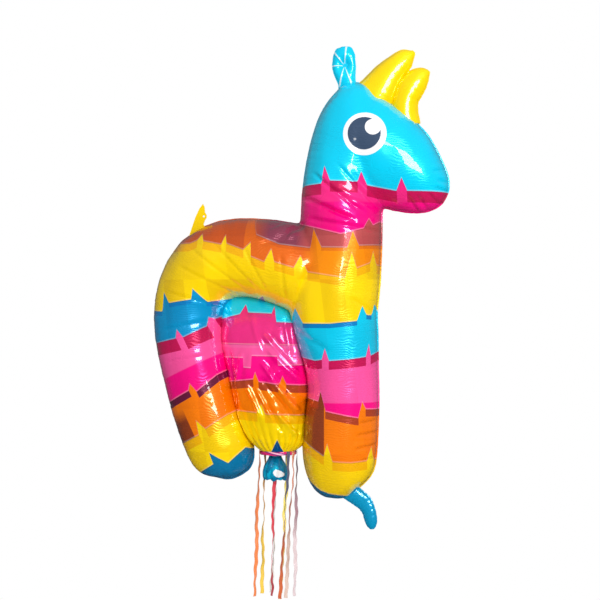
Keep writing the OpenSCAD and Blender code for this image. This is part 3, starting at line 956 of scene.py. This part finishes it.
def ruffle(obj, loop, seed, creases):
    """Moves the points along their normals: puckers that fade away from the weld, long soft waves, and
    folds. The whole film also moves out by SWELL, and the folds and waves are held back near the weld."""
    points, normals = vectors(obj.data.vertices, "co"), vectors(obj.data.vertex_normals, "vector")
    away, along = nearest_on_loop(points, loop)
    fine, size = pucker_height(along, seed, PUCKER_SPACING)
    coarse, _ = pucker_height(along, seed + 7, PUCKER_SPACING * 2.6)
    near = 1 - np.exp(-away / WELD_CALM)
    puckers = fine * np.exp(-away / (PUCKER_REACH * size))
    puckers += 0.35 * coarse * np.exp(-away / (2 * PUCKER_REACH))
    waves = sum(np.sin(points @ direction + phase) for direction, phase in
                zip(np.random.default_rng(seed).normal(0, 38, (6, 3)), wander(seed, 6, 0, 6.3)))
    lift = SWELL + near * (PUCKER_HEIGHT * puckers + WAVE_HEIGHT * waves)
    for fold in creases:
        lift -= near * crease(points, *fold)
    moved = points + normals * lift[:, None]
    flat = np.abs(points[:, 1]) < 1e-5
    moved[flat] = points[flat]
    set_points(obj, moved)


body_loop = weld_loop(body)
ruffle(body, body_loop, seed=3, creases=BODY_CREASES)
print("weld line is", round(float(run_along(body_loop)[-1]), 2), "m round")


# %% Both skins
def mirrored(obj, name):
    """A copy on the other side of Y = 0, its faces turned the right way again."""
    mesh = obj.data.copy()
    mesh.name = name
    twin = add_object(name, mesh)
    set_points(twin, vectors(mesh.vertices, "co") * [1, -1, 1])
    mesh.flip_normals()
    return twin


far_body = mirrored(body, "far_body_foil")
dress(body, body_foil, "balloon", "printed_foil", "near_skin")
dress(far_body, body_foil, "balloon", "printed_foil", "far_skin")


# %% [markdown]
# ## The weld
# Outside the air chamber the two films are heat-sealed into a flat edge a few millimetres wide. It is far
# too narrow for a remesh, so it is a strip carried round the weld line, a little wavy because the puckers
# pull on it.

# %% Weld strip
WELD_WIDTH = 3 * MM
WELD_SKIN = 0.5 * MM
WELD_WAVE = 0.5 * MM
WELD_STEP = 1.5 * MM


def weld_strip(name, loop, seed):
    """A closed strip round the loop: from just inside it to WELD_WIDTH outside, with a wave across the plane
    that grows towards the outer edge."""
    run = run_along(loop)
    count = int(run[-1] / WELD_STEP)
    even = np.arange(count) * run[-1] / count
    x, z = (np.interp(even, run, loop[:, axis]) for axis in (0, 2))
    for _ in range(2):
        x, z = ((np.roll(v, 1) + 2 * v + np.roll(v, -1)) / 4 for v in (x, z))
    tangent = np.column_stack([np.roll(x, -1) - np.roll(x, 1), np.roll(z, -1) - np.roll(z, 1)])
    tangent /= np.linalg.norm(tangent, axis=1)[:, None]
    area = np.sum(x * np.roll(z, -1) - np.roll(x, -1) * z)
    out = np.column_stack([tangent[:, 1], -tangent[:, 0]]) * np.sign(area)
    wave, _ = pucker_height(even, seed, 14 * MM)
    rows = []
    for share, side in [(-0.5, -1), (0.3, -1), (1, -1), (1, 1), (0.3, 1), (-0.5, 1)]:
        reach = share * WELD_WIDTH * (1 + 0.12 * wave * (share == 1))
        y = side * WELD_SKIN / 2 + WELD_WAVE * max(share, 0) * (wave - 0.1)
        rows.append(np.column_stack([x + out[:, 0] * reach, y, z + out[:, 1] * reach]))
    return ring_piece(name, np.stack(rows, axis=0))


dress(weld_strip("body_weld", body_loop, 21), body_foil, "balloon", "printed_foil", "weld_seam")


# %% [markdown]
# ## Ear, mane and filling neck
# The small parts are blown up from the same two films. Each is a tube of flattened sections carried along
# its own centre line, drawn to a thin edge where the films are welded, with puckers that fade away from that
# edge. The ear is also welded flat round the hang hole, so its film is drawn in there, and creases run out
# like rays.

# %% Small lobes
# Each row is a section: its centre along X and Z, its half width and its half thickness, in millimetres.
EAR_ROWS = [(6, -44, 16, 7), (4, -30, 16, 9), (1, -16, 19, 11), (-1, -2, 21, 12), (-1, 12, 20, 11),
            (0, 24, 18, 9), (1, 32, 13, 6), (1, 36, 6, 3)]
REAR_MANE_ROWS = [(48, -70, 38, 24), (61, -54, 37, 24), (82, -23, 29, 21), (102, -1, 22, 17),
                  (116, 12, 17, 12), (127, 20, 7, 6), (131, 24, 1.5, 1.5)]
FRONT_MANE_ROWS = [(112, -112, 30, 20), (112, -88, 26, 20), (115, -66, 24, 19), (124, -46, 25, 18),
                   (137, -30, 22, 15), (148, -20, 15, 10), (156, -14, 6, 5), (158, -12, 1.5, 1.5)]
FILLER_ROWS = [(4, -800, 17, 9), (14, -808, 16, 8), (25, -816, 15, 7), (38, -827, 14, 6), (46, -842, 11.5, 6),
               (50, -859, 10.5, 6), (51.5, -870, 7, 4.5), (52, -876, 1.5, 1.5)]
LOBE_LIP = 1.6 * MM


def lobe_grid(rows, steps, around, seed, spacing, height):
    """Sections square to the centre line in the plane of X and Z. Across a section, u is the half width
    times a cosine plus a thin lip, and y is the half thickness times a sine, with puckers near the weld."""
    path = smooth_path(rows, steps) * MM
    tangent = np.gradient(path[:, :2], axis=0)
    tangent /= np.linalg.norm(tangent, axis=1)[:, None]
    run = run_along(path[:, :2])
    a = full_turn(around)[None, :]
    cosine, sine = np.cos(a), np.sin(a)
    left, right = (pucker_height(run, seed + k, spacing)[0][:, None] for k in (0, 5))
    pucker = np.where(cosine > 0, right, left)
    wide, thick = path[:, [2]], path[:, [3]]
    lip = LOBE_LIP * rising(np.abs(cosine), 0.985, 0.015)
    u = wide * cosine + np.sign(cosine) * lip * (1 + 0.4 * pucker)
    near_weld = np.abs(cosine) ** 1.5 * rising(thick, 0, 10 * MM)
    y = thick * signed_power(sine, 1.15) + height * pucker * near_weld * signed_power(sine, 0.6)
    x = path[:, [0]] - tangent[:, [1]] * u
    z = path[:, [1]] + tangent[:, [0]] * u
    return np.stack([x, y, z], axis=-1)


def lobe_piece(name, grid, material, node, slot):
    """Closes the grid at both ends and dresses it as a piece that stands for the node."""
    rows, around = grid.shape[:2]
    piece = make_piece(name, grid, grid_faces(rows, around, wrap=True).tolist() + end_caps(rows, around))
    dress(tidy_mesh(piece, merge=1e-7), material, "balloon", slot, node)


for node, name, rows, seed in [("mane_rear_lobe", "rear_mane_foil", REAR_MANE_ROWS, 31),
                               ("mane_front_lobe", "front_mane_foil", FRONT_MANE_ROWS, 37)]:
    grid = lobe_grid(rows, 150, 120, seed, spacing=16 * MM, height=1.6 * MM)
    lobe_piece(name, grid, yellow_foil, node, "yellow_foil")
filler_grid = lobe_grid(FILLER_ROWS, 150, 96, 41, spacing=8 * MM, height=2.2 * MM)
filler_grid[..., 1] += crumpled(filler_grid.reshape(-1, 3), 71, 8, 1.2 * MM, (22, 45)).reshape(150, 96)
lobe_piece("filling_neck_foil", filler_grid, blue_foil, "fill_neck", "blue_foil")


# %% Ear
disc_low, disc_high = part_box("ear_hang_disc")
DISC_RADIUS = (disc_high.x - disc_low.x) / 2
DISC_SKIN = 0.7 * MM
RIDGE_WIDTH = 1.6 * MM
RIDGE_HEIGHT = 1.9 * MM
RIDGE_REACH = 30 * MM


def drawn_to_disc(grid):
    """Draws the film in to the hang disc: y shrinks towards the disc's own thickness. Straight ridges run
    out from the disc at the angles in EAR_RAYS and fade away at the ear's edge."""
    x, y, z = grid[..., 0], grid[..., 1], grid[..., 2]
    from_hole, angle = np.hypot(x, z), np.arctan2(z, x)
    share = rising(from_hole, 0.8 * DISC_RADIUS, 20 * MM)
    soft = share * (2 - share) * 0.85
    ridges = np.zeros_like(x)
    for degrees in EAR_RAYS:
        turn = np.angle(np.exp(1j * (angle - math.radians(degrees))))
        ridges += np.exp(-((turn * from_hole / RIDGE_WIDTH) ** 2)) * (np.abs(turn) < 1)
    fade = rising(from_hole, 0.6 * DISC_RADIUS, 4 * MM) * np.exp(-from_hole / RIDGE_REACH)
    off_edge = rising(np.abs(y), 0, 2 * MM)
    grid[..., 1] = y * soft + np.sign(y) * (DISC_SKIN * (1 - soft) + RIDGE_HEIGHT * ridges * fade * off_edge)
    return grid


ear_grid = drawn_to_disc(lobe_grid(EAR_ROWS, 170, 160, 43, spacing=12 * MM, height=0.8 * MM))
lobe_piece("ear_foil", ear_grid, blue_foil, "ear", "blue_foil")
print("small lobes made")


# %% [markdown]
# ## The treat pouch
# The pouch is a loose bag of the same printed film. It isn't under pressure, so it creases: long straight
# folds meet at sharp angles, and it is gathered into pleats where it closes on the ring. Its sides pass
# inside the legs. The bag is a tube of sections from the arch down to the ring, and each fold is the size of
# a slanting sine.

# %% Pouch bag
pouch_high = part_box("near_pouch_wall")[1]
PLEAT_HEIGHT = 4.6 * MM
# Each row is the share of the way down, the place along X, the half width and the half thickness, in
# millimetres.
POUCH_ROWS = [
    (0.00, -172, 46, 6), (0.04, -170, 66, 14), (0.12, -164, 76, 28), (0.22, -160, 80, 42),
    (0.345, -156, 78, 52), (0.47, -148, 79, 57), (0.605, -143, 76, 58), (0.735, -139, 70, 56),
    (0.83, -134, 65, 51), (0.917, -129, 55, 45), (0.966, -127, 45, 40), (1.0, -127, 34, 34),
]
# Folds as for the body. A fold of less than nothing stands out from the film.
BAG_FOLDS = [
    ((-150, -507), (-84, -578), -7, 4), ((-141, -532), (-80, -596), -7, 6),
    ((-150, -560), (-104, -625), -6, 4), ((-215, -540), (-200, -650), 4, 4),
    ((-189, -545), (-199, -610), -3, 4), ((-180, -600), (-150, -665), -5, 4),
    ((-132, -596), (-80, -656), -8, 7), ((-150, -590), (-88, -668), 4, 4),
    ((-202, -650), (-172, -712), -4, 5), ((-120, -655), (-85, -700), -5, 4),
    ((-175, -470), (-150, -540), -3, 5), ((-110, -480), (-95, -550), 4, 5),
    ((-160, -610), (-128, -668), -6, 3), ((-140, -640), (-112, -690), 5, 4),
]


def pouch_bag(name, rows_count, columns):
    """Superellipse sections down the bag. Folds push the film along the section's own outward direction, and
    pleats deepen towards the ring. Both are held back at the bag's two ends."""
    rows = smooth_path([(share, x * MM, w * MM, t * MM) for share, x, w, t in POUCH_ROWS], rows_count)
    share, middle, wide, thick = (rows[:, [k]] for k in range(4))
    a = full_turn(columns)[None, :]
    x = middle + wide * signed_power(np.cos(a), 0.9)
    y = thick * signed_power(np.sin(a), 0.9)
    z = pouch_high.z + (ring_high.z - pouch_high.z) * share + 0 * x
    out = np.stack([np.cos(a) * thick / wide + 0 * x, np.sin(a) + 0 * x, 0 * x], axis=-1)
    out /= np.linalg.norm(out, axis=-1)[..., None]
    points = np.stack([x, y, z], axis=-1)
    flat = points.reshape(-1, 3)
    folds = crumpled(flat, 51, 9, 3 * MM, (9, 18)) + crumpled(flat, 53, 12, 1 * MM, (30, 60))
    folds -= sum(crease(flat, *fold) for fold in BAG_FOLDS)
    gather = rising(share, 0.74, 0.22) ** 1.5
    pleats = gather * PLEAT_HEIGHT * (np.abs(np.sin(13 * a + 3 * share + 0.7 * np.sin(4 * a))) - 0.6)
    left = 1 - share
    calm = rising(left, 0, 0.06) * rising(share, 0, 0.08)
    lift = folds.reshape(x.shape) * (0.25 + 0.75 * calm) * rising(left, 0, 0.02)
    lift += pleats * np.clip(left / 0.03, 0.2, 1)
    faces = grid_faces(rows_count, columns, wrap=True)[:, ::-1].tolist() + [list(range(columns))]
    return tidy_mesh(make_piece(name, points + out * lift[..., None], faces), merge=1e-7)


bag = pouch_bag("pouch_bag", 190, 260)
dress(bag, skirt_foil, "balloon", "printed_foil", "near_pouch_wall", "far_pouch_wall")
print("pouch bag from", round(pouch_high.z, 3), "to", round(ring_high.z, 3))


# %% [markdown]
# ## The ring and the tear-off neck
# A stiff ring holds the mouth of the pouch, wrapped with pink and purple ribbon. Below it hangs the blue
# neck of the bag, gathered at the ring and flared at its open end. The pull ribbon is fixed inside, and
# tears it off.

# %% Ring
def wrap_paint(t, x, y, z):
    """Slanting turns of pink, magenta and purple ribbon round the ring."""
    angle = t.math("ARCTAN2", y, t.minus(x, ring_middle.x))
    wave = t.math("SINE", t.plus(t.times(angle, 3.2), t.times(z, 420.0)))
    colour = t.mix(t.step(wave, 0.1, 0.2), linear(226, 36, 110), linear(120, 40, 120))
    return t.mix(t.step(wave, 0.82, 0.08), colour, linear(246, 170, 196))


RING_SIDE = 7 * MM
RING_WAVE = 0.4 * MM
ring_wrap = foil("ribbon wrap", wrap_paint, spacing=1.2, crumple=0.7, depth=0.5, metal=0.15, rough=0.28)


def wrapped_ring(name):
    """A rounded square section turned round the ring's middle, with ridges where the ribbon's turns
    overlap."""
    middle_radius, half_wide = ring_radius - RING_SIDE / 2, RING_SIDE / 2
    half_high = (ring_high.z - ring_low.z) / 2
    a, s = full_turn(220)[:, None], full_turn(20)[None, :]
    ridge = 1 - 0.08 * np.abs(np.sin(17 * a + 1.5 * s))
    radius = middle_radius + half_wide * ridge * signed_power(np.cos(s), 0.6)
    z = ring_middle.z + half_high * ridge * signed_power(np.sin(s), 0.6) + RING_WAVE * np.sin(5 * a)
    return ring_piece(name, np.stack([ring_middle.x + radius * np.cos(a), radius * np.sin(a), z], axis=-1))


dress(wrapped_ring("wrapped_ring"), ring_wrap, "balloon", "ring_plastic", "ribbon_ring")


# %% Tear-off neck
def neck_paint(t, x, y, z):
    """Blue print, darker and lighter in patches from noise: painted shade for the creases. One white patch
    with a ragged edge low on the near side.
    """
    noise = t.noise(t.place()[0], 38.0, 2.0, Distortion=1.5)
    # Painted shade: the blue is darker in noise patches, standing for shade in the foil's creases.
    colour = t.mix(t.above(noise, 0.45, 5.0), linear(0, 118, 160), linear(0, 178, 212))
    near = t.under(y, -6 * MM, 2 * MM)
    # A white patch with a ragged edge, low on the near side.
    ragged_x = t.line(noise, 18 * MM, t.minus(x, 9 * MM))
    ragged_z = t.line(noise, -12 * MM, t.plus(z, 6 * MM))
    return t.mix(t.times(near, disc_mask(t, ragged_x, ragged_z, (-124, -772), 6.5)), colour, (0.9, 0.92, 0.94))


neck_foil = foil("crinkled blue foil", neck_paint, spacing=4.0, crumple=0.5, depth=1.2)
neck_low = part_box("tear_off_neck")[0]
NECK_TOP = ring_middle.z - 1 * MM
NECK_FLARE = 22 * MM
NECK_WAIST = 10 * MM
NECK_CURL = 2 * MM
NECK_RAGGED = 3 * MM
NECK_PLEAT = 3.4 * MM
NECK_SKIN = 1 * MM


def bell(name):
    """Outer wall from the ring's middle to the ragged foot, then the inner wall up again to the ceiling. The
    radius grows from the waist to the flare as 3 s squared less 2 s cubed, and curls in a little at the
    foot."""
    down, up, around = 46, 26, 160
    shares = np.concatenate([np.linspace(0, 1, down), np.linspace(1, 0.42, up)])[:, None]
    inside = np.concatenate([np.zeros(down), np.ones(up)])[:, None]
    a = full_turn(around)[None, :]
    teeth = np.abs(np.sin(2.5 * a + 0.6)) * 0.7 + 0.3 * np.sin(9 * a)
    z = NECK_TOP + (neck_low.z - NECK_TOP) * shares + NECK_RAGGED * teeth * rising(shares, 0.8, 0.2)
    opened = rising(shares, 0, 0.62)
    radius = NECK_WAIST + (NECK_FLARE - NECK_WAIST) * (opened * opened * (3 - 2 * opened))
    pleats = np.abs(np.sin(4.5 * a + 2.2 * shares + 0.5 * np.sin(3 * a))) - 0.55
    radius = radius - NECK_CURL * rising(shares, 0.85, 0.15)
    radius = radius + pleats * NECK_PLEAT * (0.35 + 0.65 * shares) - NECK_SKIN * inside
    points = np.stack([ring_middle.x + NECK_OFF + radius * np.cos(a), radius * np.sin(a), z], axis=-1)
    lift = crumpled(points.reshape(-1, 3), 61, 9, 2.4 * MM, (25, 55)).reshape(z.shape)
    points[..., 0] += np.cos(a) * lift
    points[..., 1] += np.sin(a) * lift
    faces = grid_faces(down + up, around, wrap=True)[:, ::-1].tolist() + end_caps(down + up, around)
    return tidy_mesh(make_piece(name, points, faces), merge=1e-7)


dress(bell("tear_off_bell"), neck_foil, "pull_neck", "blue_foil", "tear_off_neck")
print("neck hangs to", round(neck_low.z, 3))


# %% [markdown]
# ## Finishes for the imported parts that stay
# The hang disc, the tail tab, the valve film and the ribbons' glue tabs are flat and simple, so their imported
# shape stays. They only get a proper finish in the place of their plain one.

# %% Kept nodes
def refinish(node, material):
    """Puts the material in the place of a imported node's own."""
    mesh = frame["nodes"][node].data
    mesh.materials.clear()
    mesh.materials.append(material)


def glued_ribbon(name, tint, mottle):
    """The end of a ribbon pressed flat on the ring: mottled, with ribs from top to foot."""
    material, t, shader = new_material(name)
    place, x, y, z = t.place()
    patches = t.noise(place, 220.0, 3.0)
    share = t.above(patches, 0.45, 3.0)
    ribs = t.math("SINE", t.times(t.plus(x, y), 5200.0))
    t.wire(shader, {
        "Base Color": t.mix(share, tint, mottle),
        "Roughness": t.line(share, 0.2, 0.3),
        "Normal": t.bump(t.line(patches, 0.6, ribs), 0.3, 0.3 * MM),
        "Coat Weight": 0.3,
    })
    return material


def paint_film(t, x, y, z):
    """Clear film shows silver at the neck's foot and white above."""
    return t.mix(t.step(z, -830 * MM, 20 * MM), SILVER, WHITE)


for number, (tint, _, mottle) in enumerate(RIBBON_TINTS, start=1):
    refinish(f"ribbon_{number}_tab", glued_ribbon(f"glued ribbon {number}", tint, mottle))
refinish("tail_tab", yellow_foil)
refinish("ear_hang_disc", blue_foil)
refinish("valve_film", foil("clear film", paint_film, metal=0.0, rough=0.25))


# %% [markdown]
# ## Floor, backdrop and light
# Foil shows what is round it, so what it can mirror is kept apart from what lights it. One window at the
# right is seen in the foil and gives its white streaks. The other lights and the floor light the colours
# without being mirrored, and the world is pale for direct light but dark in reflections, or a grey veil
# would lie on the print. The floor lies below the ribbons.

# %% Floor
FLOOR_Z = cad_low.z - 0.38
FLOOR_RADIUS = 1.5
turn = full_turn(96)
rim = np.column_stack([aim.x + FLOOR_RADIUS * np.cos(turn), FLOOR_RADIUS * np.sin(turn), turn * 0 + FLOOR_Z])
floor = make_piece("floor", rim, [list(range(len(turn)))])
floor.visible_glossy = False
floor_paint, t, shader = new_material("white floor")
t.wire(shader, {"Base Color": (0.93, 0.93, 0.93), "Roughness": 0.9})
floor.data.materials.append(floor_paint)


# %% World
world = bpy.data.worlds.new("studio")
bpy.context.scene.world = world
world.use_nodes = True
world.node_tree.nodes.clear()
t = Tree(world.node_tree)
direction = t.split(t.add("ShaderNodeTexCoord").outputs["Generated"])
ramp = t.add("ShaderNodeValToRGB", {"Fac": t.line(direction[2], 0.5, 0.5)})
stops = [(0.30, (0.03, 0.03, 0.035)), (0.72, (0.20, 0.20, 0.205))]
for stop, (height, tint) in zip(ramp.color_ramp.elements, stops):
    stop.position = height
    stop.color = (*tint, 1)
path = t.add("ShaderNodeLightPath").outputs
soft = t.mix(path["Is Diffuse Ray"], ramp.outputs[0], (0.66, 0.66, 0.67))
seen = t.mix(path["Is Camera Ray"], soft, (1.0, 1.0, 1.0))
glow = t.add("ShaderNodeBackground", {"Color": seen, "Strength": 1.0})
t.add("ShaderNodeOutputWorld", {"Surface": glow.outputs[0]})


# %% Lights
def soft_light(name, place, size, power, mirrored_in_foil=True):
    """A rectangular area light that faces the balloon's middle. The foil mirrors only the lights that say
    so."""
    data = bpy.data.lights.new(name, "AREA")
    data.shape = "RECTANGLE"
    data.size, data.size_y = size
    data.energy = power
    light = bpy.data.objects.new(name, data)
    light.location = aim + Vector(place)
    light.rotation_euler = (aim - light.location).to_track_quat("-Z", "Y").to_euler()
    light.visible_glossy = mirrored_in_foil
    bpy.context.scene.collection.objects.link(light)


# Each light's place is measured from the balloon's middle, its size is in metres and its power in watts.
soft_light("right window", (1.45, -2.5, 0.75), (1.2, 1.0), 62)
soft_light("front sheet", (0.9, -2.9, 1.2), (2.0, 2.0), 16, mirrored_in_foil=False)
soft_light("overhead", (0.2, -0.8, 2.8), (2.6, 2.4), 16, mirrored_in_foil=False)
soft_light("back light", (0.2, 2.8, 0.9), (1.6, 1.2), 24, mirrored_in_foil=False)
bpy.context.scene.view_settings.view_transform = "Standard"
